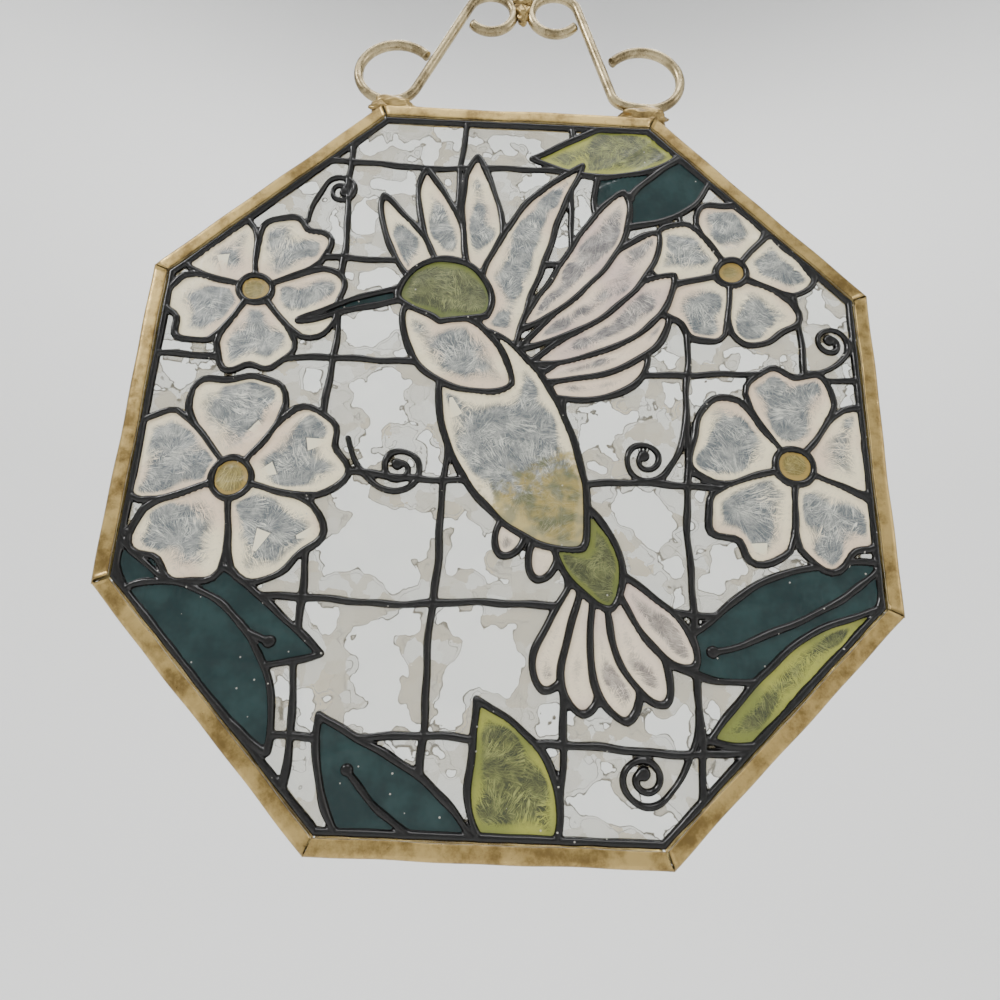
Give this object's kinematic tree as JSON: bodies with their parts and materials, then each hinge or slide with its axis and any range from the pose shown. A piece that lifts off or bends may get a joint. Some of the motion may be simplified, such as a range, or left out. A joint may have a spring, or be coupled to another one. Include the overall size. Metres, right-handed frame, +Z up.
{
  "type": "stained glass suncatcher",
  "caption": "Eight-sided glass panel in a brass edge strip with a raised leading picture, hung in a window from two scrolled wires and a ring.",
  "frame": {"origin": "highest point of the hole in the hanging ring, where a hook carries the panel", "axes": "+Z up as it hangs, +X to the right as seen from the front, the decorated front faces -Y"},
  "size_m": [0.1752, 0.0054, 0.2337],
  "materials": {
    "clear_glass": "clear, polished",
    "came_brass": "aged, satin, tarnished in the corners",
    "wire_brass": "aged, satin",
    "solder": "brass-coloured solder, uneven satin",
    "black_leading": "raised black resin, glossy",
    "cream_enamel": "transparent crystal enamel, cream with grey-blue centres",
    "dark_green_enamel": "transparent enamel, smooth and glossy",
    "lime_enamel": "transparent crystal enamel",
    "amber_enamel": "transparent crystal enamel",
    "clear_varnish": "clear thick varnish with a tan tint where it pooled"
  },
  "bodies": {
    "root": {"glass_pane": "clear_glass", "came_brass": "came_brass", "leading_lines": "black_leading", "hanger_wire_left": "wire_brass", "hanger_wire_right": "wire_brass", "hanging_ring": "wire_brass", "solder_left": "solder", "solder_right": "solder", "solder_top": "solder"}
  },
  "joints": []
}
